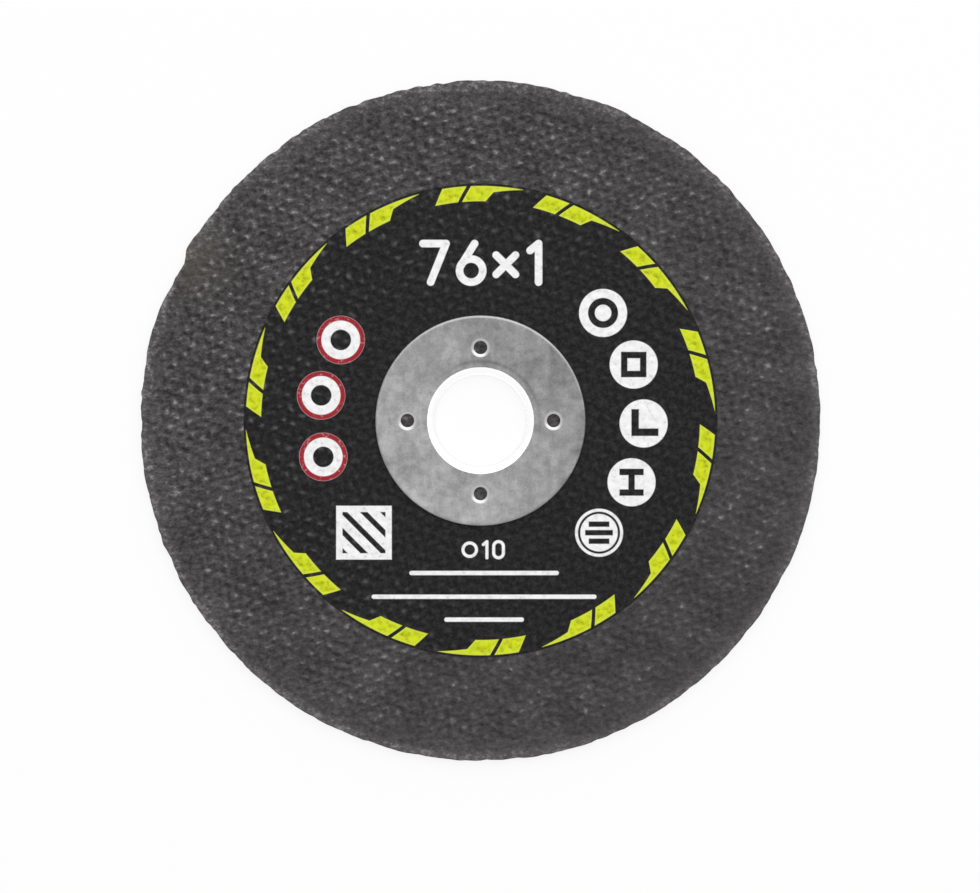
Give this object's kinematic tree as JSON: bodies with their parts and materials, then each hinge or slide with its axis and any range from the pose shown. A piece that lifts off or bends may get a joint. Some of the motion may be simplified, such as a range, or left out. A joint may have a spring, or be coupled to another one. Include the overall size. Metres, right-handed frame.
{
  "type": "cut-off wheel",
  "caption": "Thin round cut-off wheel: a bonded abrasive disc with a flush paper label and a drawn steel ring that lines the arbor hole.",
  "frame": {"origin": "centre of the plain back face, on the arbor axis, on the surface that the wheel lies on", "axes": "+Z along the arbor axis, out of the label side; X and Y through the keying holes of the ring"},
  "size_m": [0.076, 0.076, 0.0014],
  "materials": {
    "bonded_abrasive": "rough, with the weave of the glass cloth in relief",
    "label_paper": "printed, satin, embossed by the weave below",
    "ring_steel": "dull plated sheet steel"
  },
  "bodies": {
    "root": {"abrasive_disc": "bonded_abrasive", "paper_label": "label_paper", "arbor_ring": "ring_steel"}
  },
  "joints": []
}
